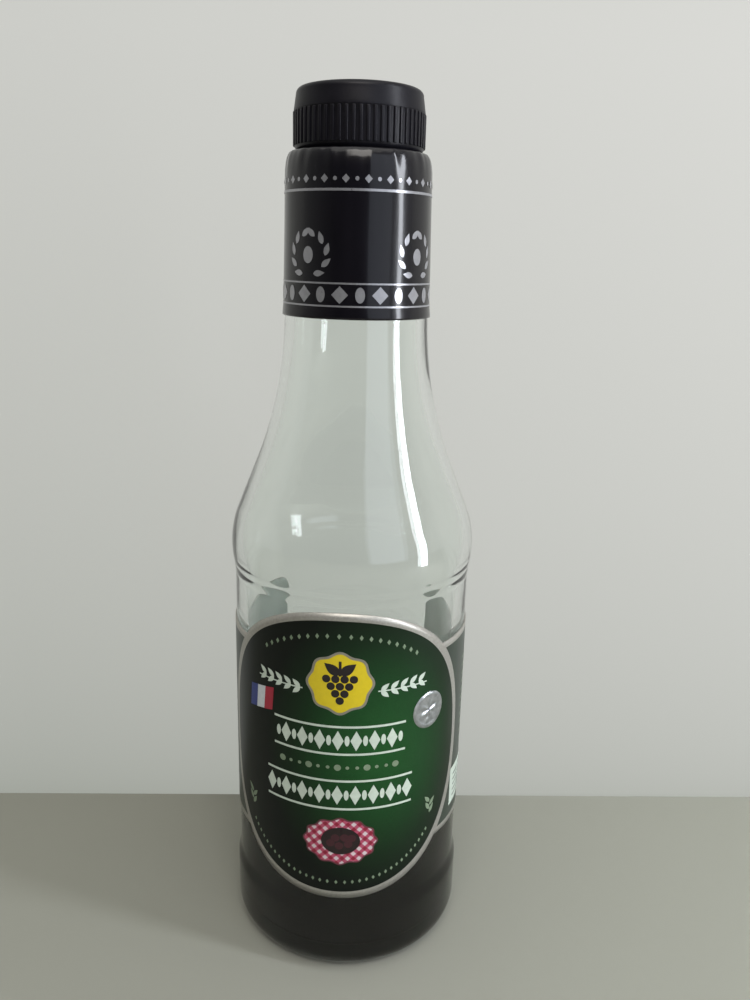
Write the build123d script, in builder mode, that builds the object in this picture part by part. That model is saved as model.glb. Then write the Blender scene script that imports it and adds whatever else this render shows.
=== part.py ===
"""Vinegar bottle: a clear 25 cl glass bottle, part full, with its label, sleeve and cap.

Millimetres, +Z up. The origin is the centre of the foot, and -Y is the middle of the label.
"""
from build123d import *
import os
from math import asin, cos, degrees, pi, radians, sin, tan

# Glass body, outside, as radii and heights
foot_radius = 22.6
heel_radius = 6.0
punt_radius = 19.5
punt_height = 2.2
punt_bend = (0.55, 0.7)  # where its curve passes, as shares of its radius and height
heel_top = 15.9
panel_radius = 27.9
panel_bottom = 19.9
panel_top = 94.2
shoulder_start = 96.8
shoulder_centre = (6.4, 101.5)
shoulder_radius = 22.25
cone_lean = 21.7
cone_length = 12.7
sweep_radius = 90.0
neck_lean = 1.5
neck_top = 177.0

# Glass wall, and the finish that stands up inside the cap
wall = 2.5
base_thickness = 4.2
inner_heel_radius = 7.0
finish_radius = 12.2
finish_bottom = 180.4
finish_top = 197.4
mouth_radius = 9.4
mouth_bottom = 180.8

# Vinegar left in the bottle
vinegar_level = 55.0

# Label: one wrap of film, a band with an oval shield in front and bare glass behind
label_thickness = 0.3
band_bottom = 32.2
band_top = 82.8
band_half_angle = 133.0
band_corner = 3.0
shield_half_width = 34.0
shield_half_height = 36.1
shield_middle = 57.6
shield_squareness = 2.2
shield_points = 32

# Shrink sleeve on the neck
sleeve_thickness = 0.25
sleeve_bottom = 154.1
sleeve_flare_radius = 16.5
sleeve_flare_top = 157.5
sleeve_lower_radius = 16.25
sleeve_upper_radius = 15.87
sleeve_bend = 182.4
sleeve_shoulder = (15.35, 186.5)
sleeve_lip = (14.3, 187.8)

# Pourer collar inside the sleeve, with the stubs of the broken seal on top
collar_radius = 14.1
collar_bore = 12.5
collar_bottom = 181.0
collar_top = 187.3
stub_count = 18
stub_length = 0.8
stub_width = 1.1
stub_height = 0.45
stub_radius = 13.5

# Screw cap
cap_bottom = 187.9
cap_top = 200.3
cap_foot_radius = 13.3
cap_skirt_radius = 13.8
cap_shoulder_radius = 13.45
cap_bore = 12.6
cap_roof = 1.8
cap_edge_round = 1.2
rib_count = 60
rib_bottom = 188.9
rib_top = 195.6
rib_crest_radius = 14.1
rib_width = 0.7
rib_root = 0.4  # how far each rib reaches into the skirt


def polar(centre, radius, angle):
    """The point at a radius and an angle in degrees from a centre, as (r, z)."""
    return (centre[0] + radius * cos(radians(angle)), centre[1] + radius * sin(radians(angle)))


def draw_upper_wall(inset):
    """Draw the wall from the panel's top to the neck's top, moved in by inset, and return its end."""
    start_angle = degrees(asin((shoulder_start - shoulder_centre[1]) / shoulder_radius))
    arc_radius = shoulder_radius - inset
    arc_start = polar(shoulder_centre, arc_radius, start_angle)
    arc_middle = polar(shoulder_centre, arc_radius, (start_angle + cone_lean) / 2)
    arc_end = polar(shoulder_centre, arc_radius, cone_lean)
    cone_end = polar(arc_end, cone_length, cone_lean + 90)
    sweep_centre = polar(cone_end, sweep_radius + inset, cone_lean)
    sweep_middle = polar(sweep_centre, sweep_radius + inset, 180 + (cone_lean + neck_lean) / 2)
    sweep_end = polar(sweep_centre, sweep_radius + inset, 180 + neck_lean)
    neck_end = (sweep_end[0] - (neck_top - sweep_end[1]) * tan(radians(neck_lean)), neck_top)
    arc_direction = (-sin(radians(start_angle)), cos(radians(start_angle)))
    Spline((panel_radius - inset, panel_top), arc_start, tangents=[(0, 1), arc_direction])
    ThreePointArc(arc_start, arc_middle, arc_end)
    Line(arc_end, cone_end)
    ThreePointArc(cone_end, sweep_middle, sweep_end)
    Line(sweep_end, neck_end)
    return neck_end


def draw_outside():
    """Draw the closed outline of the glass as if it were solid."""
    heel_centre = (foot_radius, heel_radius)
    bead_radius = foot_radius + heel_radius
    ThreePointArc((0, punt_height), (punt_radius * punt_bend[0], punt_height * punt_bend[1]), (punt_radius, 0))
    Line((punt_radius, 0), (foot_radius, 0))
    ThreePointArc((foot_radius, 0), polar(heel_centre, heel_radius, -45), (bead_radius, heel_radius))
    Line((bead_radius, heel_radius), (bead_radius, heel_top))
    Spline((bead_radius, heel_top), (panel_radius, panel_bottom), tangents=[(0, 1), (0, 1)])
    Line((panel_radius, panel_bottom), (panel_radius, panel_top))
    neck_end = draw_upper_wall(0)
    Spline(neck_end, (finish_radius, finish_bottom), tangents=[(-0.1, 1), (0, 1)])
    Polyline((finish_radius, finish_bottom), (finish_radius, finish_top), (0, finish_top),
             (0, punt_height))


def draw_cavity():
    """Draw the closed outline of the space inside the glass."""
    inner_radius = panel_radius - wall
    floor = base_thickness
    crown = (0, floor + punt_height)
    heel_start = (inner_radius - inner_heel_radius, floor)
    heel_centre = (heel_start[0], floor + inner_heel_radius)
    ThreePointArc(crown, (heel_start[0] * punt_bend[0], floor + punt_height * punt_bend[1]), heel_start)
    ThreePointArc(heel_start, polar(heel_centre, inner_heel_radius, -45),
                  (inner_radius, heel_centre[1]))
    Line((inner_radius, heel_centre[1]), (inner_radius, panel_top))
    neck_end = draw_upper_wall(wall)
    Spline(neck_end, (mouth_radius, mouth_bottom), tangents=[(0, 1), (0, 1)])
    Polyline((mouth_radius, mouth_bottom), (mouth_radius, finish_top), (0, finish_top), crown)


def shield_point(step):
    """A point of the shield's outline as it looks from the front, as (across, height)."""
    angle = 2 * pi * step / shield_points
    across = shield_half_width * abs(cos(angle)) ** (2 / shield_squareness)
    rise = shield_half_height * abs(sin(angle)) ** (2 / shield_squareness)
    across = across if cos(angle) > 0 else -across
    rise = rise if sin(angle) > 0 else -rise
    return (panel_radius * sin(across / panel_radius), shield_middle + rise)


# Glass bottle
with BuildPart() as glass_bottle:
    with BuildSketch(Plane.XZ):
        with BuildLine():
            draw_outside()
        make_face()
    revolve(axis=Axis.Z)
    with BuildSketch(Plane.XZ):
        with BuildLine():
            draw_cavity()
        make_face()
    revolve(axis=Axis.Z, mode=Mode.SUBTRACT)

# Vinegar, which fills the cavity up to its level
with BuildPart() as vinegar:
    with BuildSketch(Plane.XZ):
        with BuildLine():
            draw_cavity()
        make_face()
    revolve(axis=Axis.Z)
    split(bisect_by=Plane.XY.offset(vinegar_level), keep=Keep.BOTTOM)

# Label: an oval shield cut out of a shell round the panel, and a band that wraps round behind it
label_radius = panel_radius + label_thickness
with BuildPart() as shield:
    with BuildSketch(Plane.XY.offset(panel_bottom)):
        Circle(label_radius)
        Circle(panel_radius, mode=Mode.SUBTRACT)
    extrude(amount=panel_top - panel_bottom)
    with BuildSketch(Plane.XZ):
        with BuildLine():
            Spline(*[shield_point(step) for step in range(shield_points)], periodic=True)
        make_face()
    extrude(amount=label_radius + 1, mode=Mode.INTERSECT)

band_start = radians(-90 - band_half_angle)
band_plane = Plane(origin=(0, 0, 0), x_dir=(cos(band_start), sin(band_start), 0),
                   z_dir=(sin(band_start), -cos(band_start), 0))
with BuildPart() as wrap_label:
    with BuildSketch(band_plane):
        with Locations(((panel_radius + label_radius) / 2, (band_bottom + band_top) / 2)):
            Rectangle(label_thickness, band_top - band_bottom)
    revolve(axis=Axis.Z, revolution_arc=2 * band_half_angle)
    fillet(edges().filter_by(lambda edge: edge.length < 2 * label_thickness), band_corner)
    add(shield.part)


def draw_sleeve(inset):
    """Draw the sleeve's outer line, or moved in by inset its inner one, and return its two ends."""
    foot = (sleeve_flare_radius - inset, sleeve_bottom)
    waist = (sleeve_lower_radius - inset, sleeve_flare_top)
    bend = (sleeve_upper_radius - inset, sleeve_bend)
    shoulder = (sleeve_shoulder[0] - inset, sleeve_shoulder[1] - inset / 2)
    lip = (sleeve_lip[0], sleeve_lip[1] - inset)
    Spline(foot, waist, tangents=[(-0.2, 1), (0, 1)])
    Line(waist, bend)
    Spline(bend, shoulder, lip, tangents=[(0, 1), (-1, 0.3)])
    return foot, lip


# Shrink sleeve: a thin film that flares at its foot and rounds in over the collar
with BuildPart() as neck_sleeve:
    with BuildSketch(Plane.XZ):
        with BuildLine():
            outer_foot, outer_lip = draw_sleeve(0)
            inner_foot, inner_lip = draw_sleeve(sleeve_thickness)
            Line(outer_foot, inner_foot)
            Line(outer_lip, inner_lip)
        make_face()
    revolve(axis=Axis.Z)

# Pourer collar, a ring round the finish with the seal's stubs standing on its top
with BuildPart() as pourer_collar:
    with BuildSketch(Plane.XY.offset(collar_bottom)):
        Circle(collar_radius)
        Circle(collar_bore, mode=Mode.SUBTRACT)
    extrude(amount=collar_top - collar_bottom)
    with BuildSketch(Plane.XY.offset(collar_top)):
        with PolarLocations(stub_radius, stub_count):
            Rectangle(stub_length, stub_width)
    extrude(amount=stub_height)

# Screw cap: a drafted cup with a rounded edge and a ring of fine grip ribs
with BuildPart() as screw_cap:
    with BuildSketch(Plane.XZ):
        with BuildLine():
            round_centre = (cap_shoulder_radius - cap_edge_round, cap_top - cap_edge_round)
            roof = cap_top - cap_roof
            Polyline((cap_bore, roof), (cap_bore, cap_bottom), (cap_foot_radius, cap_bottom),
                     (cap_skirt_radius, rib_bottom), (cap_skirt_radius, rib_top),
                     (cap_shoulder_radius, round_centre[1]))
            ThreePointArc((cap_shoulder_radius, round_centre[1]),
                          polar(round_centre, cap_edge_round, 45), (round_centre[0], cap_top))
            Polyline((round_centre[0], cap_top), (0, cap_top), (0, roof), (cap_bore, roof))
        make_face()
    revolve(axis=Axis.Z)
    with BuildSketch(Plane.XY.offset(rib_bottom)):
        with PolarLocations((rib_crest_radius + cap_skirt_radius) / 2, rib_count):
            Rectangle(rib_crest_radius - cap_skirt_radius + rib_root, rib_width)
    extrude(amount=rib_top - rib_bottom)

sub_parts = {
    "glass_bottle": glass_bottle,
    "vinegar": vinegar,
    "wrap_label": wrap_label,
    "neck_sleeve": neck_sleeve,
    "pourer_collar": pourer_collar,
    "screw_cap": screw_cap,
}
os.makedirs("parts", exist_ok=True)
for name, builder in sub_parts.items():
    builder.part.label = name
    export_step(builder.part, f"parts/{name}.step")
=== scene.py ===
"""Looks of the part-full glass vinegar bottle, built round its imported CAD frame."""
from math import asin, cos, degrees, pi, radians, sin, tan

import bmesh
import bpy
from mathutils import Matrix, Vector


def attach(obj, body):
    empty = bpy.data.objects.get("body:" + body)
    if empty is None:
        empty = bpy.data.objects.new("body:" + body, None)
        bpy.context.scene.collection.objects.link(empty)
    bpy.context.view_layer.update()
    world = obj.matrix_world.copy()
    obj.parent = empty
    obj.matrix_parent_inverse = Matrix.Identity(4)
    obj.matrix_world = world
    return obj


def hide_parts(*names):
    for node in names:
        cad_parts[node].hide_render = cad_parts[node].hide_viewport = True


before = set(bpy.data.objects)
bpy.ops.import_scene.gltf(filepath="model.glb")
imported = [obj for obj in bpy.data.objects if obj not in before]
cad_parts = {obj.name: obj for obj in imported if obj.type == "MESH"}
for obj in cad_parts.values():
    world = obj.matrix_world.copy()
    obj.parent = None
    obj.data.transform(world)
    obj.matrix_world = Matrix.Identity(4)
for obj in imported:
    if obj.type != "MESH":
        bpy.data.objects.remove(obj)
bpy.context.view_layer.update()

MM = 0.001
scene = bpy.context.scene

# Sizes in millimetres, as in the CAD part
PANEL_R = 27.9
PANEL_BOTTOM, PANEL_TOP = 19.9, 94.2
WALL = 2.5
BASE = 4.2
PUNT = 2.2
FOOT_R, HEEL_R, PUNT_R, HEEL_TOP = 22.6, 6.0, 19.5, 15.9
SHOULDER_Z, SHOULDER_C, SHOULDER_R = 96.8, (6.4, 101.5), 22.25
CONE_LEAN, CONE_LENGTH = 21.7, 12.7
SWEEP_R, NECK_LEAN, NECK_TOP = 90.0, 1.5, 177.0
FINISH_R, FINISH_BOTTOM, FINISH_TOP = 12.2, 180.4, 197.4
MOUTH_R, MOUTH_BOTTOM = 9.4, 180.8
LIP_ROUND, INNER_HEEL = 1.0, 7.0
LEVEL = 55.0
BAND_BOTTOM, BAND_TOP, BAND_END = 32.2, 82.8, radians(133.0) * PANEL_R
SHIELD_A, SHIELD_B, SHIELD_Z, SHIELD_N = 34.0, 36.1, 57.6, 2.2
BORDER, BAND_BORDER = 1.75, 1.5
CHECK = 1.3
SLEEVE_R = 16.0
CAP_BOTTOM, CAP_TOP = 187.9, 200.3
RIB_BOTTOM, RIB_TOP = 188.9, 195.6
# The camera stands a few degrees to the right of the label's middle
CAMERA_TURN = 5.0
# The wall behind stands 43 mm from the bottle's axis, turned like the camera; in metres and radians
WALL_Y, WALL_TURN = 0.0431, radians(5.33)


# ---------------------------------------------------------------- colour and node helpers
def linear(colour):
    """An sRGB hex colour as linear RGBA."""
    parts = [int(colour[i:i + 2], 16) / 255 for i in (1, 3, 5)]
    return tuple(c / 12.92 if c <= 0.04045 else ((c + 0.055) / 1.055) ** 2.4 for c in parts) + (1.0,)


def add(tree, kind, *values, **named):
    """Add a node. Values go to its first inputs; a small letter names a property, a capital an input."""
    made = tree.nodes.new(kind)
    wanted = list(zip(made.inputs, values))
    for key, value in named.items():
        if key[0].islower():
            setattr(made, key, value)
        else:
            match = (s for s in made.inputs if key in (s.identifier, s.name.replace(" ", "_")))
            wanted.append((next(match), value))
    for socket, value in wanted:
        if isinstance(value, bpy.types.Node):
            value = next(out for out in value.outputs if out.enabled)
        if isinstance(value, bpy.types.NodeSocket):
            tree.links.new(value, socket)
        else:
            socket.default_value = linear(value) if str(value).startswith("#") else value
    return made


def material(name, **shader):
    """A Principled material with uniform values on its own sockets; returns it, its tree and shader."""
    made = bpy.data.materials.new(name)
    made.use_nodes = True
    tree = made.node_tree
    bsdf = tree.nodes["Principled BSDF"]
    for key, value in shader.items():
        bsdf.inputs[key.replace("_", " ")].default_value = value
    return made, tree, bsdf


def feed(tree, bsdf, **parts):
    """Link each node's first live output to the shader's input of that name."""
    for key, part in parts.items():
        out = next(out for out in part.outputs if out.enabled)
        tree.links.new(out, bsdf.inputs[key.replace("_", " ")])


def grain(tree, size_mm, detail=3.0, stretch=(1, 1, 1)):
    """An uneven pattern on object coordinates, with grains about size_mm across."""
    spot = add(tree, "ShaderNodeTexCoord").outputs["Object"]
    spot = add(tree, "ShaderNodeMapping", Vector=spot, Scale=stretch)
    return add(tree, "ShaderNodeTexNoise", Vector=spot, Scale=1 / (size_mm * MM), Detail=detail)


def print_axes(tree):
    """Arc and height on the flat print, in mm."""
    flat = add(tree, "ShaderNodeUVMap", uv_map="print")
    axes = add(tree, "ShaderNodeSeparateXYZ", flat)
    return axes.outputs[0], axes.outputs[1]


# ---------------------------------------------------------------- materials
def soda_lime_glass():
    """Soda-lime glass, blown in a mould: clear, with a faint grey-green cast and a soft waviness."""
    made, tree, bsdf = material("soda_lime_glass", Transmission_Weight=1.0, Roughness=0.015, IOR=1.52,
                                Base_Color=linear("#fafdfb"), Specular_IOR_Level=0.13)
    waves = grain(tree, 14.0, 2.0, (1, 1, 0.35))
    feed(tree, bsdf, Normal=add(tree, "ShaderNodeBump", Height=waves, Strength=0.25, Distance=0.35 * MM))
    return made


def dark_vinegar():
    """Vinegar with must and caramel: near black in bulk, red-brown where the layer is thin."""
    made, tree, bsdf = material("dark_vinegar", Roughness=0.04, IOR=1.36, Specular_IOR_Level=0.1)
    deep = add(tree, "ShaderNodeMix", grain(tree, 18.0, 2.0), data_type="RGBA",
               A_Color="#020101", B_Color="#060303")
    rim = add(tree, "ShaderNodeLayerWeight", Blend=0.32).outputs["Facing"]
    thin = add(tree, "ShaderNodeMath", rim, 3.0, operation="POWER")
    feed(tree, bsdf, Base_Color=add(tree, "ShaderNodeMix", thin, data_type="RGBA",
                                    A_Color=deep, B_Color="#24130f"))
    return made


def black_polypropylene(name):
    """Injection-moulded black polypropylene: satin, with a very fine skin texture."""
    made, tree, bsdf = material(name, IOR=1.49, Specular_IOR_Level=0.16)
    mottle = grain(tree, 3.0)
    feed(tree, bsdf,
         Base_Color=add(tree, "ShaderNodeMix", mottle, data_type="RGBA",
                        A_Color="#0f0e13", B_Color="#17161c"),
         Roughness=add(tree, "ShaderNodeMapRange", mottle, To_Min=0.3, To_Max=0.42),
         Normal=add(tree, "ShaderNodeBump", Height=grain(tree, 0.5), Strength=0.18, Distance=0.05 * MM))
    return made


def black_shrink_film():
    """Black PVC shrink film: glossy, drawn tight, with faint lengthwise draw marks."""
    made, tree, bsdf = material("black_shrink_film", IOR=1.53, Specular_IOR_Level=0.2, Coat_Weight=0.3,
                                Coat_Roughness=0.08)
    draw = grain(tree, 2.2, 3.0, (1, 1, 0.12))
    feed(tree, bsdf,
         Base_Color=add(tree, "ShaderNodeMix", draw, data_type="RGBA", A_Color="#0a090d", B_Color="#110f15"),
         Roughness=add(tree, "ShaderNodeMapRange", draw, To_Min=0.16, To_Max=0.28),
         Normal=add(tree, "ShaderNodeBump", Height=draw, Strength=0.25, Distance=0.12 * MM))
    return made


def ink(name, colour, shade=None, roughness=0.4, metallic=0.0):
    """Flexographic ink on film: flat colour with a slight uneven lay-down."""
    made, tree, bsdf = material(name, Metallic=metallic, IOR=1.5, Coat_Weight=0.15, Coat_Roughness=0.2)
    lay = grain(tree, 0.9, 4.0)
    feed(tree, bsdf,
         Base_Color=add(tree, "ShaderNodeMix", lay, data_type="RGBA",
                        A_Color=shade or colour, B_Color=colour),
         Roughness=add(tree, "ShaderNodeMapRange", lay, To_Min=roughness - 0.06, To_Max=roughness + 0.06))
    return made


def silver_foil():
    """Hot-stamped aluminium foil: bright, with fine crinkle."""
    made, tree, bsdf = material("silver_foil", Metallic=1.0)
    crinkle = grain(tree, 1.1, 4.0)
    feed(tree, bsdf,
         Base_Color=add(tree, "ShaderNodeMix", crinkle, data_type="RGBA",
                        A_Color="#7e828a", B_Color="#dfe1e4"),
         Roughness=add(tree, "ShaderNodeMapRange", crinkle, To_Min=0.22, To_Max=0.42),
         Normal=add(tree, "ShaderNodeBump", Height=crinkle, Strength=0.5, Distance=0.15 * MM))
    return made


def inside_shield(tree, u, v, inset):
    """1 inside the shield's outline moved in by inset, 0 outside it."""
    across = add(tree, "ShaderNodeMath", u, SHIELD_A - inset, operation="DIVIDE")
    rise = add(tree, "ShaderNodeMath", v, SHIELD_Z, operation="SUBTRACT")
    rise = add(tree, "ShaderNodeMath", rise, SHIELD_B - inset, operation="DIVIDE")
    across = add(tree, "ShaderNodeMath", across, operation="ABSOLUTE")
    rise = add(tree, "ShaderNodeMath", rise, operation="ABSOLUTE")
    across = add(tree, "ShaderNodeMath", across, SHIELD_N, operation="POWER")
    rise = add(tree, "ShaderNodeMath", rise, SHIELD_N, operation="POWER")
    reach = add(tree, "ShaderNodeMath", across, rise, operation="ADD")
    return add(tree, "ShaderNodeMath", reach, 1.0, operation="LESS_THAN")


def green_fade_and_painted_light(tree, u, v):
    """Green that fades to near black towards the shield's edges, with painted light that puts its brightest
    spot right of the middle.
    """
    ways = []
    # Painted light: the brightest spot sits 9 mm right of the shield's middle, on the side the lights stand.
    for axis, middle, reach in ((u, 9.0, 27.0), (v, 60.0, 36.0)):
        way = add(tree, "ShaderNodeMath", axis, middle, operation="SUBTRACT")
        way = add(tree, "ShaderNodeMath", way, reach, operation="DIVIDE")
        ways.append(add(tree, "ShaderNodeMath", way, way, operation="MULTIPLY"))
    away = add(tree, "ShaderNodeMath", *ways, operation="ADD")
    ramp = add(tree, "ShaderNodeValToRGB", add(tree, "ShaderNodeMath", away, operation="SQRT"))
    stops = ramp.color_ramp.elements
    stops[0].color = linear("#1f5226")
    stops[1].color = linear("#0a0f0c")
    for share, colour in ((0.45, "#18401e"), (0.75, "#112714")):
        stops.new(share).color = linear(colour)
    return ramp


def printed_film():
    """Printed polypropylene label film: green fading to near black, with painted light brightest right of
    the middle, a silver border, glossy.
    """
    made, tree, bsdf = material("printed_film", IOR=1.5, Specular_IOR_Level=0.18, Coat_Weight=0.06,
                                Coat_Roughness=0.16)
    u, v = print_axes(tree)
    in_outer = inside_shield(tree, u, v, -0.05)
    in_inner = inside_shield(tree, u, v, BORDER)
    shield_rim = add(tree, "ShaderNodeMath", in_outer, in_inner, operation="SUBTRACT")
    # The band's own border, outside the shield
    low = add(tree, "ShaderNodeMath", v, BAND_BOTTOM + BAND_BORDER, operation="LESS_THAN")
    high = add(tree, "ShaderNodeMath", v, BAND_TOP - BAND_BORDER, operation="GREATER_THAN")
    side = add(tree, "ShaderNodeMath", u, operation="ABSOLUTE")
    side = add(tree, "ShaderNodeMath", side, BAND_END - BAND_BORDER, operation="GREATER_THAN")
    band_rim = add(tree, "ShaderNodeMath", low, high, operation="MAXIMUM")
    band_rim = add(tree, "ShaderNodeMath", band_rim, side, operation="MAXIMUM")
    outside = add(tree, "ShaderNodeMath", 1.0, in_outer, operation="SUBTRACT")
    band_rim = add(tree, "ShaderNodeMath", band_rim, outside, operation="MULTIPLY")
    silver = add(tree, "ShaderNodeMath", shield_rim, band_rim, operation="MAXIMUM")
    dots = grain(tree, 0.45, 2.0)
    shaded = add(tree, "ShaderNodeMath", dots, 0.35, operation="MULTIPLY")
    # The green carries painted light, brightest right of the middle.
    green = add(tree, "ShaderNodeMix", shaded, data_type="RGBA", A_Color=green_fade_and_painted_light(tree, u, v),
                B_Color="#0c140e")
    wing = add(tree, "ShaderNodeMix", dots, data_type="RGBA", A_Color="#2b332c", B_Color="#3a423a")
    ground = add(tree, "ShaderNodeMix", in_outer, data_type="RGBA", A_Color=wing, B_Color=green)
    metal = add(tree, "ShaderNodeMix", dots, data_type="RGBA", A_Color="#8e8c86", B_Color="#b5b2ab")
    raised = add(tree, "ShaderNodeMath", silver, 0.2, operation="MULTIPLY")
    height = add(tree, "ShaderNodeMath", grain(tree, 5.0, 2.0), raised, operation="ADD")
    feed(tree, bsdf,
         Base_Color=add(tree, "ShaderNodeMix", silver, data_type="RGBA", A_Color=ground, B_Color=metal),
         Metallic=add(tree, "ShaderNodeMath", silver, 0.55, operation="MULTIPLY"),
         Roughness=add(tree, "ShaderNodeMapRange", silver, To_Min=0.34, To_Max=0.38),
         Normal=add(tree, "ShaderNodeBump", Height=height, Strength=0.18, Distance=0.12 * MM))
    return made


def label_backing():
    """The label's glued side, seen through the glass: a pale grey-green paper white."""
    made, tree, bsdf = material("label_backing", Roughness=0.6)
    feed(tree, bsdf, Base_Color=add(tree, "ShaderNodeMix", grain(tree, 4.0), data_type="RGBA",
                                    A_Color="#dfeae1", B_Color="#eef6f0"))
    return made


def gingham():
    """Printed gingham: two sets of stripes 1.3 mm apart that make white, pink and red squares."""
    made, tree, bsdf = material("gingham_print", Roughness=0.45, IOR=1.5)
    u, v = print_axes(tree)
    stripes = []
    for operation in ("ADD", "SUBTRACT"):
        way = add(tree, "ShaderNodeMath", u, v, operation=operation)
        way = add(tree, "ShaderNodeMath", way, CHECK, operation="PINGPONG")
        stripes.append(add(tree, "ShaderNodeMath", way, CHECK / 2, operation="LESS_THAN"))
    count = add(tree, "ShaderNodeMath", *stripes, operation="ADD")
    ramp = add(tree, "ShaderNodeValToRGB", add(tree, "ShaderNodeMath", count, 0.5, operation="MULTIPLY"))
    stops = ramp.color_ramp.elements
    stops[0].color = linear("#d9cdd0")
    stops[1].color = linear("#8d1230")
    stops.new(0.5).color = linear("#b8506c")
    worn = add(tree, "ShaderNodeMath", grain(tree, 2.5), 0.4, operation="MULTIPLY")
    feed(tree, bsdf, Base_Color=add(tree, "ShaderNodeMix", worn, data_type="RGBA",
                                    A_Color=ramp, B_Color="#3a0f1c"))
    return made


# ---------------------------------------------------------------- mesh helpers
def finish_piece(name, data, finishes, slot, *replaced):
    """Make the mesh a piece of the bottle, with its materials, and hide the CAD node it replaces; slot is
    not used.
    """
    for finish in finishes:
        data.materials.append(finish)
    piece = bpy.data.objects.new(name, data)
    scene.collection.objects.link(piece)
    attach(piece, "root")
    if replaced:
        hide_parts(*replaced)


def mesh_from(work, name):
    data = bpy.data.meshes.new(name)
    work.to_mesh(data)
    work.free()
    return data


def face_outwards(work):
    """Smooth an open printed surface, and turn its faces away from the bottle's axis."""
    bmesh.ops.recalc_face_normals(work, faces=work.faces)
    for face in work.faces:
        centre = face.calc_center_median()
        if face.normal.x * centre.x + face.normal.y * centre.y < 0:
            face.normal_flip()
        face.smooth = True


def turned_mesh(name, profile, around=192, closed=True, ripple=None):
    """A mesh turned about Z from (radius, height) points in mm; a zero radius becomes a pole."""
    data = bpy.data.meshes.new(name)
    vertices, rings = [], []
    for index, (r, z) in enumerate(profile):
        if r < 1e-6:
            rings.append([len(vertices)])
            vertices.append((0.0, 0.0, z * MM))
            continue
        ring = []
        for step in range(around):
            angle = 2 * pi * step / around
            radius = r + (ripple(index, r, z, angle) if ripple else 0.0)
            ring.append(len(vertices))
            vertices.append((radius * cos(angle) * MM, radius * sin(angle) * MM, z * MM))
        rings.append(ring)
    faces = []
    pairs = list(zip(rings, rings[1:])) + ([(rings[-1], rings[0])] if closed else [])
    for lower, upper in pairs:
        if len(lower) == 1 and len(upper) == 1:
            continue
        for step in range(around):
            after = (step + 1) % around
            if len(lower) == 1:
                faces.append((lower[0], upper[after], upper[step]))
            elif len(upper) == 1:
                faces.append((lower[step], lower[after], upper[0]))
            else:
                faces.append((lower[step], lower[after], upper[after], upper[step]))
    data.from_pydata(vertices, [], faces)
    work = bmesh.new()
    work.from_mesh(data)
    bmesh.ops.recalc_face_normals(work, faces=work.faces)
    work.to_mesh(data)
    work.free()
    data.polygons.foreach_set("use_smooth", [True] * len(data.polygons))
    return data


def arc(centre, radius, start, end, steps):
    """Points on an arc, angles in degrees."""
    return [(centre[0] + radius * cos(radians(start + (end - start) * i / steps)),
             centre[1] + radius * sin(radians(start + (end - start) * i / steps))) for i in range(steps + 1)]


def ease(start, end, steps):
    """Points that leave and arrive upright, from one (radius, height) to another."""
    points = []
    for i in range(steps + 1):
        t = i / steps
        radius = start[0] + (end[0] - start[0]) * t * t * (3 - 2 * t)
        points.append((radius, start[1] + (end[1] - start[1]) * t))
    return points


def straight(start, end, steps):
    """Points between two others, without those two."""
    return [(start[0] + (end[0] - start[0]) * i / steps, start[1] + (end[1] - start[1]) * i / steps)
            for i in range(1, steps)]


def upper_wall(inset):
    """The wall from the panel's top to the neck's top, moved in by inset."""
    start = degrees(asin((SHOULDER_Z - SHOULDER_C[1]) / SHOULDER_R))
    shoulder = arc(SHOULDER_C, SHOULDER_R - inset, start, CONE_LEAN, 24)
    lean = radians(CONE_LEAN)
    cone_end = (shoulder[-1][0] - CONE_LENGTH * sin(lean), shoulder[-1][1] + CONE_LENGTH * cos(lean))
    radius = SWEEP_R + inset
    centre = (cone_end[0] + radius * cos(lean), cone_end[1] + radius * sin(lean))
    sweep = arc(centre, radius, 180 + CONE_LEAN, 180 + NECK_LEAN, 24)
    neck = (sweep[-1][0] - (NECK_TOP - sweep[-1][1]) * tan(radians(NECK_LEAN)), NECK_TOP)
    return (ease((PANEL_R - inset, PANEL_TOP), shoulder[0], 8)[:-1] + shoulder
            + straight(shoulder[-1], cone_end, 6) + sweep + straight(sweep[-1], neck, 8) + [neck])


def outer_profile():
    """The outside, from the middle of the punt to the top of the finish."""
    heel_c = (FOOT_R, HEEL_R)
    bead = FOOT_R + HEEL_R
    points = [(0.0, PUNT)] + [(PUNT_R * t, PUNT * (1 - t * t)) for t in (0.2, 0.4, 0.6, 0.8, 0.93)]
    points += [(PUNT_R, 0.0), (FOOT_R, 0.0)] + arc(heel_c, HEEL_R, -90, 0, 14)[1:]
    points += straight((bead, HEEL_R), (bead, HEEL_TOP), 4)
    points += ease((bead, HEEL_TOP), (PANEL_R, PANEL_BOTTOM), 8)
    points += straight((PANEL_R, PANEL_BOTTOM), (PANEL_R, PANEL_TOP), 16) + upper_wall(0)
    points += ease(points[-1], (FINISH_R, FINISH_BOTTOM), 8)[1:] + [(FINISH_R, FINISH_TOP - LIP_ROUND)]
    return points + arc((FINISH_R - LIP_ROUND, FINISH_TOP - LIP_ROUND), LIP_ROUND, 0, 90, 5)[1:]


def floor_profile(grow=0.0):
    """The inside floor and its heel, up to the straight wall, moved out into the glass by grow."""
    radius = PANEL_R - WALL
    heel = (radius - INNER_HEEL, BASE + INNER_HEEL)
    points = [(0.0, BASE + PUNT - grow)]
    points += [(heel[0] * t, BASE - grow + PUNT * (1 - t * t)) for t in (0.2, 0.4, 0.6, 0.8)]
    return points + arc(heel, INNER_HEEL + grow, -90, 0, 16)


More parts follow.
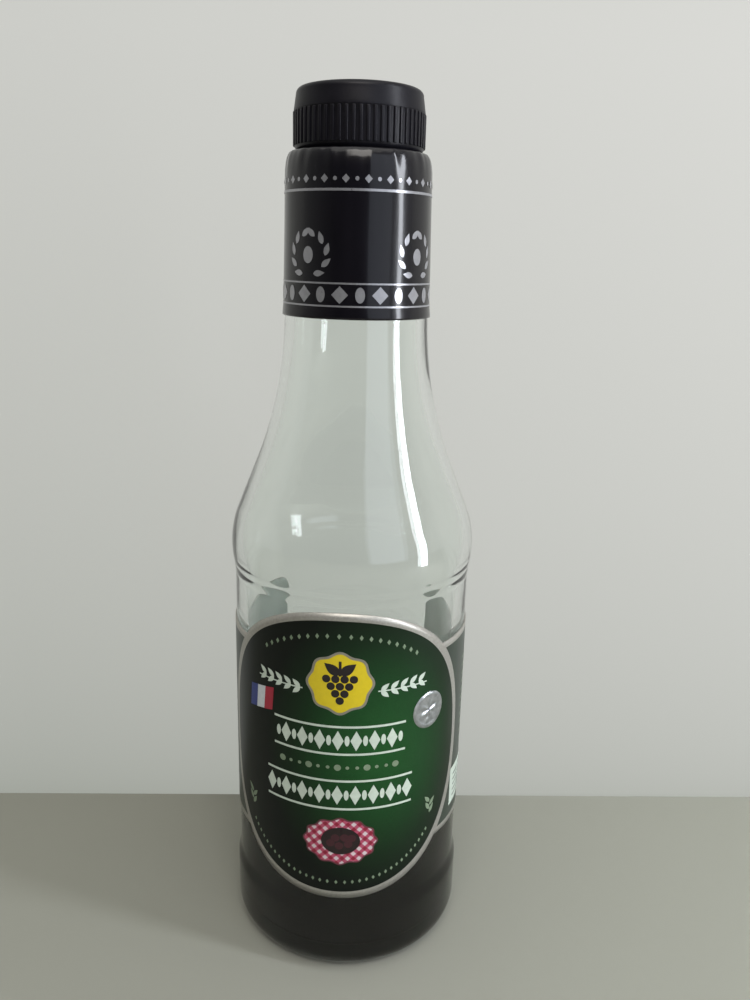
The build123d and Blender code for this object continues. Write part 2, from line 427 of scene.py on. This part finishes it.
def glass_mesh():
    """Outside and inside walls; the inside carries the soft unevenness of blown glass."""
    radius = PANEL_R - WALL
    inside = floor_profile() + straight((radius, BASE + INNER_HEEL), (radius, PANEL_TOP), 24)
    inside += upper_wall(WALL)
    inside += ease(inside[-1], (MOUTH_R, MOUTH_BOTTOM), 8)[1:] + [(MOUTH_R, FINISH_TOP - 0.6)]
    inside += [(MOUTH_R + 0.6, FINISH_TOP)]
    outside = outer_profile()
    count = len(outside)
    profile = outside + inside[::-1]

    low, high = 60.0, 176.0

    def ripple(index, r, z, angle):
        if index < count or z < low or z > high:
            return 0.0
        fade = min(1.0, (z - low) / 12, (high - z) / 10)
        return fade * (0.10 * sin(2 * angle + z / 17) + 0.06 * sin(3 * angle - z / 9 + 1.3))
    return turned_mesh("glass", profile, 224, closed=False, ripple=ripple)


# ---------------------------------------------------------------- print helpers
def place(u, v, radius, away=0.0):
    """A point of the flat print, arc and height in mm, on a round wall."""
    angle = u / radius
    return ((radius + away) * sin(angle) * MM, -(radius + away) * cos(angle) * MM, v * MM)


def print_mesh(name, outlines, radius, lift, wall_of=None, cut=0.9):
    """Flat outlines (arc, height) in mm cut into narrow strips, then wrapped round the wall."""
    work = bmesh.new()
    for outline in outlines:
        work.faces.new([work.verts.new((u, v, 0)) for u, v in outline])
    bmesh.ops.triangulate(work, faces=work.faces)
    low = min(v.co.x for v in work.verts)
    high = max(v.co.x for v in work.verts)
    step = low + cut
    while step < high:
        geometry = work.verts[:] + work.edges[:] + work.faces[:]
        bmesh.ops.bisect_plane(work, geom=geometry, plane_co=(step, 0, 0), plane_no=(1, 0, 0))
        step += cut
    uv = work.loops.layers.uv.new("print")
    for face in work.faces:
        for loop in face.loops:
            loop[uv].uv = (loop.vert.co.x, loop.vert.co.y)
    for vert in work.verts:
        around = wall_of(vert.co.y) if wall_of else radius
        angle = vert.co.x / radius
        vert.co = ((around + lift) * sin(angle) * MM, -(around + lift) * cos(angle) * MM, vert.co.y * MM)
    face_outwards(work)
    return mesh_from(work, name)


def printed(name, outlines, finish, lift=0.34):
    """A print on the label; lift is its height above the glass, so that one print can lie on another."""
    finish_piece(name, print_mesh(name, outlines, PANEL_R, lift), [finish], "printed_film")


def printed_on_sleeve(name, outlines, finish):
    finish_piece(name, print_mesh(name, outlines, SLEEVE_R, 0.06, sleeve_radius), [finish], "black_film")


def oval(u, v, a, b, steps=40):
    return [(u + a * cos(t), v + b * sin(t)) for t in (2 * pi * i / steps for i in range(steps))]


def wavy(u, v, a, b, lobes, depth, steps=96):
    """An oval whose edge runs in and out in lobes."""
    turns = [2 * pi * i / steps for i in range(steps)]
    return [(u + (a + depth * cos(lobes * t)) * cos(t), v + (b + depth * cos(lobes * t)) * sin(t))
            for t in turns]


def lozenge(u, v, a, b):
    return [(u - a, v), (u, v - b), (u + a, v), (u, v + b)]


def bar(u0, u1, v0, v1):
    return [(u0, v0), (u1, v0), (u1, v1), (u0, v1)]


def leaf(u, v, length, width, turn):
    """A pointed leaf that starts at (u, v) and grows in the direction turn, in radians."""
    half = [(length * i / 8, width * 0.5 * sin(pi * (i / 8) ** 0.8)) for i in range(9)]
    flat = half + [(x, -y) for x, y in half[-2:0:-1]]
    return [(u + x * cos(turn) - y * sin(turn), v + x * sin(turn) + y * cos(turn)) for x, y in flat]


def shield_point(t, inset):
    """A point on the shield's outline moved in by inset, at the angle t."""
    c, s = cos(t), sin(t)
    across = abs(c) ** (2 / SHIELD_N) * (SHIELD_A - inset)
    rise = abs(s) ** (2 / SHIELD_N) * (SHIELD_B - inset)
    return (across if c > 0 else -across, SHIELD_Z + (rise if s > 0 else -rise))


# ---------------------------------------------------------------- pieces
def make_vinegar(finish):
    """The vinegar reaches 0.06 mm into the wall and climbs it in a small meniscus."""
    reach = 0.06
    radius = PANEL_R - WALL + reach
    profile = floor_profile(reach) + straight((radius, BASE + INNER_HEEL), (radius, LEVEL + 1.0), 8)
    profile += [(radius, LEVEL + 1.0), (radius - 0.25, LEVEL + 0.55), (radius - 0.8, LEVEL + 0.2),
                (radius - 1.8, LEVEL + 0.04), (radius - 4.0, LEVEL), (radius * 0.4, LEVEL), (0.0, LEVEL)]
    data = turned_mesh("vinegar", profile, 160, closed=False)
    finish_piece("vinegar_fill", data, [finish], "dark_vinegar", "vinegar")


def label_limits(u):
    """Lowest and highest point of the label at an arc position."""
    low, high = BAND_BOTTOM, BAND_TOP
    corner = 3.0
    short = BAND_END - abs(u)
    if short < corner:
        drop = corner - (corner ** 2 - (corner - short) ** 2) ** 0.5
        low, high = low + drop, high - drop
    if abs(u) < SHIELD_A:
        rise = SHIELD_B * (1 - abs(u / SHIELD_A) ** SHIELD_N) ** (1 / SHIELD_N)
        low, high = min(low, SHIELD_Z - rise), max(high, SHIELD_Z + rise)
    return low, high


def make_label(front, back):
    """A film of even thickness: front and glued side, closed at its edges."""
    columns, rows = 420, 48
    out, into = 0.3, -0.02
    work = bmesh.new()
    uv = work.loops.layers.uv.new("print")
    grids = []
    for away in (out, into):
        grid = []
        for i in range(columns + 1):
            u = -BAND_END + 2 * BAND_END * i / columns
            low, high = label_limits(u)
            heights = [low + (high - low) * j / rows for j in range(rows + 1)]
            grid.append([(work.verts.new(place(u, v, PANEL_R, away)), (u, v)) for v in heights])
        grids.append(grid)
    front_grid, back_grid = grids

    def quad(corners, index=0):
        face = work.faces.new([vert for vert, flat in corners])
        face.material_index = index
        face.smooth = True
        for loop, (vert, flat) in zip(face.loops, corners):
            loop[uv].uv = flat

    for f0, f1, b0, b1 in zip(front_grid, front_grid[1:], back_grid, back_grid[1:]):
        for j in range(rows):
            quad((f0[j], f1[j], f1[j + 1], f0[j + 1]))
            quad((b0[j], b0[j + 1], b1[j + 1], b1[j]), 1)
        quad((b0[0], b1[0], f1[0], f0[0]))
        quad((f0[rows], f1[rows], b1[rows], b0[rows]))
    for j in range(rows):
        f0, b0 = front_grid[0], back_grid[0]
        quad((f0[j], f0[j + 1], b0[j + 1], b0[j]))
        f1, b1 = front_grid[columns], back_grid[columns]
        quad((b1[j], b1[j + 1], f1[j + 1], f1[j]))
    finish_piece("label_film", mesh_from(work, "label"), [front, back], "printed_film", "wrap_label")


def make_print():
    """The print: generic ornament only, no lettering."""
    white = ink("white_ink", "#c9d3c8", "#aebbae")
    pale = ink("pale_green_ink", "#7f9078", "#66775f")
    yellow = ink("yellow_ink", "#d3bd1c", "#c4ae16", 0.35)
    dark = ink("dark_ink", "#1a1014", "#120b0f")
    grey = ink("grey_ink", "#9c988c", "#86837a", 0.35, 0.5)
    # A yellow eight-lobed rosette with a grey edge and a dark bunch of grapes
    middle = 0.3
    printed("medallion_edge", [wavy(middle, 77.2, 7.3, 7.3, 8, 0.35)], grey, lift=0.33)
    printed("medallion", [wavy(middle, 77.2, 6.7, 6.7, 8, 0.35)], yellow, lift=0.35)
    rows = ((4, 0.0), (3, -1.75), (2, -3.5), (1, -5.2))
    grapes = [oval(middle + (k - (n - 1) / 2) * 2.0, 78.3 + drop, 0.92, 0.95, 20)
              for n, drop in rows for k in range(n)]
    printed("grapes", grapes, dark, lift=0.37)
    stalk = [leaf(middle, 79.3, 4.4, 2.3, radians(turn)) for turn in (38, 142)]
    stalk.append(bar(middle - 0.3, middle + 0.3, 79.0, 82.6))
    printed("vine_leaves", stalk, dark, lift=0.38)
    # Garlands either side of the medallion
    sprigs = []
    for side in (-1, 1):
        for k in range(5):
            u, v = middle + side * (9.0 + k * 2.3), 75.2 + 0.35 * k * (1 - 0.12 * k)
            for up in (-1, 1):
                turn = radians(90 - side * (90 - up * 42))
                sprigs.append(leaf(u, v, 2.5, 1.15, turn))
        sprigs.append(bar(*sorted((middle + side * 8.4, middle + side * 20.5)), 75.05, 75.35))
    printed("side_garlands", sprigs, white)
    # Two broad ornamental bands with a row of beads between them
    marks = []
    for v, half, height in ((63.2, 15.5, 7.4), (49.3, 17.6, 7.8)):
        marks.append(bar(-half, half, v + height / 2 - 0.55, v + height / 2))
        marks.append(bar(-half, half, v - height / 2, v - height / 2 + 0.55))
        count = round(half / 2.15)
        for k in range(-count, count + 1):
            u = k * half / (count + 0.6)
            if k % 2:
                marks.append(oval(u, v, 0.55, 1.3, 20))
            else:
                marks.append(lozenge(u, v, 1.3, 2.5))
    printed("ornament_bands", marks, white)
    small, large = 0.42, 0.8
    beads = []
    for k in range(-6, 7):
        size = small if k % 3 else large
        beads.append(oval(k * 2.2, 56.4, size, size, 14))
    printed("bead_row", beads, pale)
    # Small diamonds follow the border at the top and the bottom
    diamonds = []
    for start, end, count, inset, size in ((54, 126, 19, 5.3, 0.52), (222, 318, 33, 4.4, 0.45)):
        for k in range(count):
            u, v = shield_point(radians(start + (end - start) * k / (count - 1)), inset)
            diamonds.append(lozenge(u, v, size * 0.8, size * 1.25))
    printed("border_diamonds", diamonds, pale)
    # Small olive sprigs low on each side
    sprig = []
    for side in (-1, 1):
        for k, tilt in enumerate((60, 120, 50, 130)):
            sprig.append(leaf(side * 23.5, 39.6 + k * 1.0, 2.6, 1.0, radians(tilt)))
    printed("olive_sprigs", sprig, pale)
    # A pennant in blue, white and red
    stripes = (("#2c3c86", "#1f2c68"), ("#cdd2d6", "#b4babf"), ("#a81f38", "#8b162c"))
    for k, (colour, shade) in enumerate(stripes):
        u, v = -24.0 + k * 2.6, 66.3 + 0.5 * (k - 1)
        outline = [(u, v), (u + 2.6, v + 0.6), (u + 3.1, v + 6.3), (u + 0.5, v + 5.8)]
        printed(f"pennant_stripe_{k + 1}", [outline], ink(f"pennant_ink_{k + 1}", colour, shade))
    # A gingham napkin with a dark dish of grapes
    napkin_edge = wavy(0.8, 37.0, 8.5, 6.1, 12, 0.3)
    printed("napkin_edge", [napkin_edge], ink("napkin_ink", "#5c2a35"), lift=0.33)
    printed("napkin", [wavy(0.8, 37.0, 8.1, 5.7, 12, 0.3)], gingham(), lift=0.35)
    printed("dish", [oval(0.9, 37.2, 4.5, 3.6)], ink("dish_ink", "#1c0a0d", "#120608"), lift=0.37)
    fruit = [oval(0.9 + du, 37.2 + dv, 1.0, 1.0, 16) for du, dv in
             ((-2.3, -0.6), (-0.3, -1.3), (1.8, -0.8), (-1.2, 0.8), (0.9, 0.9), (2.6, 0.8))]
    printed("dish_fruit", fruit, ink("fruit_ink", "#451722", "#2a0d15"), lift=0.39)
    # A small ruled panel on the right wing, and plain lines on both
    printed("wing_panel", [bar(32.6, 55.0, 36.4, 46.6)], white)
    rules = [bar(34.6, 53.0 - 3.5 * (k % 3), 38.0 + k * 1.5, 38.35 + k * 1.5) for k in range(5)]
    printed("wing_rules", rules, dark, lift=0.36)
    lines = [bar(-56.0, -36.0 - 2.0 * (k % 4), 40.0 + 2.2 * k, 40.5 + 2.2 * k) for k in range(16)]
    lines += [bar(38.0, 56.0 - 2.0 * (k % 3), 52.0 + 2.2 * k, 52.5 + 2.2 * k) for k in range(11)]
    printed("wing_lines", lines, pale)


def make_seal(foil):
    """A foil seal, pressed in rays round a star."""
    u, v, radius = 21.9, 67.6, 4.5
    work = bmesh.new()
    spokes, rings = 48, 9
    middle = work.verts.new((u, v, 0.16))
    grid = []
    for k in range(1, rings + 1):
        share = k / rings
        row = []
        for i in range(spokes):
            t = 2 * pi * i / spokes
            star = 0.09 * cos(5 * t) if share < 0.5 else 0.0
            ray = 0.05 * (i % 2) if share > 0.55 else 0.0
            edge = 0.12 if 0.82 < share < 0.95 else 0.0
            height = 0.06 + star + ray + edge if k < rings else 0.0
            reach = radius * share
            row.append(work.verts.new((u + reach * cos(t), v + reach * sin(t), height)))
        grid.append(row)
    for i in range(spokes):
        after = (i + 1) % spokes
        work.faces.new((middle, grid[0][i], grid[0][after]))
        for k in range(rings - 1):
            work.faces.new((grid[k][i], grid[k + 1][i], grid[k + 1][after], grid[k][after]))
    for vert in work.verts:
        vert.co = place(vert.co.x, vert.co.y, PANEL_R, 0.33 + vert.co.z)
    face_outwards(work)
    finish_piece("foil_seal", mesh_from(work, "seal"), [foil], "printed_film")


def sleeve_profile(inset):
    """The sleeve's outline: flared foot, straight wall and a shoulder that rounds in to its lip."""
    foot, waist = (16.5 - inset, 154.1), (16.25 - inset, 157.5)
    bend = (15.87 - inset, 182.4)
    points = ease(foot, waist, 8) + straight(waist, bend, 18) + [bend]
    for t in (0.2, 0.4, 0.55, 0.68, 0.78, 0.86, 0.92, 0.97, 1.0):
        angle = t * pi / 2
        points.append((14.3 - inset * (1 - t) + (bend[0] - 14.3) * cos(angle) ** 0.9 if t < 1 else 14.3,
                       bend[1] + (187.8 - inset * t - bend[1]) * sin(angle) ** 0.95))
    return points


def sleeve_radius(v):
    """Outer radius of the sleeve's straight wall at a height."""
    if v < 157.5:
        t = (v - 154.1) / 3.4
        return 16.5 + (16.25 - 16.5) * t * t * (3 - 2 * t)
    return 16.25 + (15.87 - 16.25) * min(1.0, (v - 157.5) / 24.9)


def make_sleeve(film, silver):
    outside, inside = sleeve_profile(0.0), sleeve_profile(0.22)
    profile = outside + inside[::-1]

    def ripple(index, r, z, angle):
        pucker = max(0.0, (z - 182.0) / 6.0)
        flare = max(0.0, (157.0 - z) / 3.0)
        return (pucker * 0.07 * (sin(23 * angle) + 0.6 * sin(37 * angle + 1)) + flare * 0.05 * sin(5 * angle)
                + 0.025 * sin(4 * angle + z / 6))
    data = turned_mesh("sleeve", profile, 288, closed=True, ripple=ripple)
    finish_piece("sleeve_film", data, [film], "black_film", "neck_sleeve")
    turn = 2 * pi * SLEEVE_R
    line = [bar(-turn / 2, turn / 2, 179.35, 179.85)]
    # A row of small marks above the line
    count = 44
    for k in range(count):
        u = -turn / 2 + turn * (k + 0.5) / count
        line.append(lozenge(u, 181.7, 0.8, 0.85) if k % 2 else oval(u, 181.7, 0.42, 0.42, 14))
    printed_on_sleeve("sleeve_line", line, silver)
    # A frieze near the foot: lozenges and ovals between two rules
    frieze = [bar(-turn / 2, turn / 2, 161.2, 161.55), bar(-turn / 2, turn / 2, 156.6, 156.95)]
    count = 24
    for k in range(count):
        u = -turn / 2 + turn * (k + 0.5) / count
        if k % 2:
            frieze.append(lozenge(u, 159.07, 1.75, 1.8))
        else:
            frieze.append(oval(u, 159.07, 1.0, 1.6, 24))
    # Four laurel wreaths round the neck
    sprigs = []
    for k in range(4):
        middle = -turn / 2 + turn * (k + 0.62) / 4
        for side in (-1, 1):
            for step in range(5):
                t = radians(-70 + 34 * step)
                u, v = middle + side * 4.2 * cos(t), 166.9 + 4.0 * sin(t)
                sprigs.append(leaf(u, v, 2.7, 1.25, pi / 2 + side * (t - 0.25)))
        sprigs.append(oval(middle, 166.9, 1.3, 1.7, 28))
    printed_on_sleeve("sleeve_frieze", frieze, silver)
    printed_on_sleeve("sleeve_laurels", sprigs, silver)


def around_axis(name, part, count, radius_mm, height_mm):
    """Geometry Nodes: set copies of a small mesh on a circle, facing out, as one plain mesh."""
    tree = bpy.data.node_groups.new(name, "GeometryNodeTree")
    face = tree.interface
    sockets = (("Part", "Object"), ("Count", "Int"), ("Radius", "Float"), ("Height", "Float"),
               ("Finish", "Material"))
    for label, kind in sockets:
        face.new_socket(label, in_out="INPUT", socket_type="NodeSocket" + kind)
    face.new_socket("Geometry", in_out="OUTPUT", socket_type="NodeSocketGeometry")
    given = add(tree, "NodeGroupInput").outputs
    circle = add(tree, "GeometryNodeMeshCircle", Vertices=given["Count"], Radius=given["Radius"])
    up = add(tree, "ShaderNodeCombineXYZ", Z=given["Height"])
    lifted = add(tree, "GeometryNodeSetPosition", Geometry=circle, Offset=up)
    spot = add(tree, "GeometryNodeInputPosition")
    flat = add(tree, "ShaderNodeVectorMath", spot, (1, 1, 0), operation="MULTIPLY")
    aim = add(tree, "FunctionNodeAlignRotationToVector", Vector=flat, axis="X", pivot_axis="Z")
    source = add(tree, "GeometryNodeObjectInfo", Object=given["Part"]).outputs["Geometry"]
    copies = add(tree, "GeometryNodeInstanceOnPoints", Points=lifted, Rotation=aim, Instance=source)
    real = add(tree, "GeometryNodeRealizeInstances", Geometry=copies)
    finish = add(tree, "GeometryNodeSetMaterial", Geometry=real, Material=given["Finish"])
    add(tree, "NodeGroupOutput", Geometry=finish)
    holder = bpy.data.objects.new(name, bpy.data.meshes.new(name))
    scene.collection.objects.link(holder)
    modifier = holder.modifiers.new("around", "NODES")
    modifier.node_group = tree
    values = {"Part": part, "Count": count, "Radius": radius_mm * MM, "Height": height_mm * MM,
              "Finish": part.data.materials[0]}
    for item in face.items_tree:
        if item.in_out == "INPUT":
            modifier[item.identifier] = values[item.name]
    graph = bpy.context.evaluated_depsgraph_get()
    data = bpy.data.meshes.new_from_object(holder.evaluated_get(graph))
    bpy.data.objects.remove(holder)
    return data


def bevelled_block(name, size, finish, bevel=0.16):
    """A small block, length out along X, with rounded edges, in mm."""
    work = bmesh.new()
    bmesh.ops.create_cube(work, size=1.0)
    for vert in work.verts:
        vert.co = (vert.co.x * size[0], vert.co.y * size[1], vert.co.z * size[2])
    bmesh.ops.bevel(work, geom=work.edges[:], offset=bevel, segments=2, affect="EDGES", profile=0.6)
    for vert in work.verts:
        vert.co *= MM
    for face in work.faces:
        face.smooth = True
    data = mesh_from(work, name)
    data.materials.append(finish)
    made = bpy.data.objects.new(name, data)
    scene.collection.objects.link(made)
    return made


def make_cap(plastic):
    """Cap body with a drafted smooth top band, a ribbed skirt, and a shallow recess in its top."""
    edge = 1.2
    top_r = 13.45
    profile = [(12.6, 198.5), (12.6, CAP_BOTTOM + 0.2), (12.8, CAP_BOTTOM), (13.15, CAP_BOTTOM),
               (13.35, CAP_BOTTOM + 0.1), (13.8, RIB_BOTTOM - 0.1), (13.82, RIB_BOTTOM + 0.3)]
    profile += straight((13.82, RIB_BOTTOM + 0.3), (13.82, RIB_TOP), 4)
    profile += [(13.82, RIB_TOP), (13.92, RIB_TOP + 0.12), (13.92, RIB_TOP + 0.35)]
    profile += straight((13.92, RIB_TOP + 0.35), (top_r, CAP_TOP - edge), 5)
    profile += arc((top_r - edge, CAP_TOP - edge), edge, 0, 90, 10)
    profile += [(11.2, CAP_TOP), (11.0, CAP_TOP - 0.05), (10.8, CAP_TOP - 0.25), (10.5, CAP_TOP - 0.3),
                (5.0, CAP_TOP - 0.3), (1.2, CAP_TOP - 0.3), (1.0, CAP_TOP - 0.2), (0.6, CAP_TOP - 0.15),
                (0.0, CAP_TOP - 0.15)]
    profile = [(0.0, 198.5)] + profile
    data = turned_mesh("cap", profile, 240, closed=False)
    finish_piece("cap_body", data, [plastic], "black_cap", "screw_cap")
    height = RIB_TOP - RIB_BOTTOM
    rib = bevelled_block("rib_pattern", (0.62, 0.72, height), plastic)
    ribs = around_axis("cap_ribs", rib, 60, 13.8, (RIB_TOP + RIB_BOTTOM) / 2)
    finish_piece("cap_ribs", ribs, [], "black_cap")
    bpy.data.objects.remove(rib)


def make_collar(plastic):
    """The pourer's collar, with the stubs of the broken seal on its top."""
    profile = [(12.5, 181.0), (14.1, 181.0), (14.1, 187.0), (13.9, 187.3), (12.7, 187.3), (12.5, 187.1)]
    data = turned_mesh("collar", profile, 128, closed=True)
    finish_piece("collar_ring", data, [plastic], "black_collar", "pourer_collar")
    stub = bevelled_block("stub_pattern", (0.9, 1.0, 0.7), plastic, 0.12)
    stubs = around_axis("seal_stubs", stub, 18, 13.55, 187.5)
    finish_piece("seal_stubs", stubs, [], "black_collar")
    bpy.data.objects.remove(stub)


# ---------------------------------------------------------------- room, light and camera
def pale_wall_with_painted_shade(made, low, high):
    """Evens the wall out: seen directly, in gloss or through glass, it is mostly its own pale colour.

    It has painted shade: it is a little darker low down and to the left.
    """
    tree = made.node_tree
    axes = add(tree, "ShaderNodeSeparateXYZ", add(tree, "ShaderNodeTexCoord").outputs["Object"]).outputs
    # Painted shade: the wall darkens towards the floor and to the left.
    rise = add(tree, "ShaderNodeMapRange", axes[2], 0.0, 0.22)
    rise = add(tree, "ShaderNodeMath", rise, 0.55, operation="POWER")
    across = add(tree, "ShaderNodeMapRange", axes[0], -0.1, 0.12, To_Max=0.25)
    share = add(tree, "ShaderNodeMath", rise, 0.75, across, operation="MULTIPLY_ADD")
    shade = add(tree, "ShaderNodeMix", share, data_type="RGBA", A_Color=low, B_Color=high)
    glow = add(tree, "ShaderNodeEmission", shade, 1.0)
    path = add(tree, "ShaderNodeLightPath").outputs
    seen = add(tree, "ShaderNodeMath", path["Is Camera Ray"], path["Is Glossy Ray"], operation="MAXIMUM")
    seen = add(tree, "ShaderNodeMath", seen, path["Is Transmission Ray"], operation="MAXIMUM")
    seen = add(tree, "ShaderNodeMath", seen, 0.9, operation="MULTIPLY")
    mixed = add(tree, "ShaderNodeMixShader", seen, tree.nodes["Principled BSDF"], glow)
    tree.links.new(mixed.outputs[0], tree.nodes["Material Output"].inputs["Surface"])


def make_stage():
    """A pale floor and a pale wall behind it, both matt paint."""
    turn = Matrix.Rotation(WALL_TURN, 4, "Z")
    for name, corners, colour in (
            ("floor", ((-2, -2, 0), (2, -2, 0), (2, WALL_Y, 0), (-2, WALL_Y, 0)), "#8b8c83"),
            ("backdrop", ((-2, WALL_Y, 0), (2, WALL_Y, 0), (2, WALL_Y, 2), (-2, WALL_Y, 2)), "#cbccc6")):
        data = bpy.data.meshes.new(name)
        data.from_pydata([turn @ Vector(corner) for corner in corners], [], [(0, 1, 2, 3)])
        paint, _, _ = material(name + "_paint", Base_Color=linear(colour), Roughness=0.9,
                               Specular_IOR_Level=0.1)
        if name == "backdrop":
            # The darker colour is painted shade, low down and to the left.
            pale_wall_with_painted_shade(paint, "#a0a49c", "#d8d8d4")
        data.materials.append(paint)
        made = bpy.data.objects.new(name, data)
        scene.collection.objects.link(made)


def area(name, place_mm, aim_mm, size_mm, watts, colour):
    """A rectangular light, its place, aim and size in mm."""
    light = bpy.data.lights.new(name, "AREA")
    light.shape = "RECTANGLE"
    light.size, light.size_y = size_mm[0] * MM, size_mm[1] * MM
    light.energy = watts
    light.color = linear(colour)[:3]
    made = bpy.data.objects.new(name, light)
    made.location = Vector(place_mm) * MM
    made.rotation_euler = (Vector(aim_mm) - Vector(place_mm)).to_track_quat("-Z", "Y").to_euler()
    scene.collection.objects.link(made)


def around(azimuth, distance, height):
    """A place in mm at an azimuth to the right of the camera's own direction."""
    angle = radians(azimuth + CAMERA_TURN - 90)
    return (distance * cos(angle), distance * sin(angle), height)


def make_light():
    """A tall slit and a wide dim panel to the right, soft light from above, and a room darker in front."""
    area("window_slit", around(67, 420, 260), (0, 0, 200), (56, 520), 2.0, "#f3f7ff")
    area("window_wide", around(34, 620, 330), (0, 0, 150), (420, 560), 0.9, "#dfe8f5")
    area("top_soft", (0, -100, 1200), (0, 0, 0), (1400, 1400), 7.5, "#fffdf8")
    area("wall_wash", (60, -700, 900), (20, 40, 140), (600, 500), 6.0, "#fffaf4")
    world = bpy.data.worlds.new("room")
    scene.world = world
    world.use_nodes = True
    tree = world.node_tree
    back = tree.nodes["Background"]
    way = add(tree, "ShaderNodeSeparateXYZ", add(tree, "ShaderNodeTexCoord").outputs["Generated"])
    front = add(tree, "ShaderNodeMapRange", way.outputs[1], -0.9, 0.3, 0.04, 0.75)
    tree.links.new(front.outputs[0], back.inputs["Strength"])
    back.inputs["Color"].default_value = linear("#e9ebe8")


def make_camera():
    """The camera stands 198 mm in front and 168 mm up, 5 degrees to the right of the label's middle."""
    azimuth, distance, height = radians(CAMERA_TURN), 198.2, 167.5
    pitch, yaw, roll = radians(15.92), radians(1.51), radians(1.416)
    data = bpy.data.cameras.new("camera")
    data.lens, data.sensor_width, data.clip_start = 31.135, 36.0, 0.01
    made = bpy.data.objects.new("camera", data)
    turn = Matrix.Rotation(azimuth - yaw, 4, "Z") @ Matrix.Rotation(pi / 2 - pitch, 4, "X")
    turn = turn @ Matrix.Rotation(roll, 4, "Z")
    spot = Vector((distance * sin(azimuth), -distance * cos(azimuth), height)) * MM
    made.matrix_world = Matrix.Translation(spot) @ turn
    scene.collection.objects.link(made)
    scene.camera = made


scene.view_settings.view_transform = "Standard"
make_camera()
make_stage()
make_light()
finish_piece("glass_body", glass_mesh(), [soda_lime_glass()], "clear_glass", "glass_bottle")
make_vinegar(dark_vinegar())
make_label(printed_film(), label_backing())
make_print()
make_seal(silver_foil())
make_sleeve(black_shrink_film(), ink("silver_ink", "#a9a9ae", "#8b8b90", 0.3, 0.6))
make_collar(black_polypropylene("black_collar_plastic"))
make_cap(black_polypropylene("black_cap_plastic"))
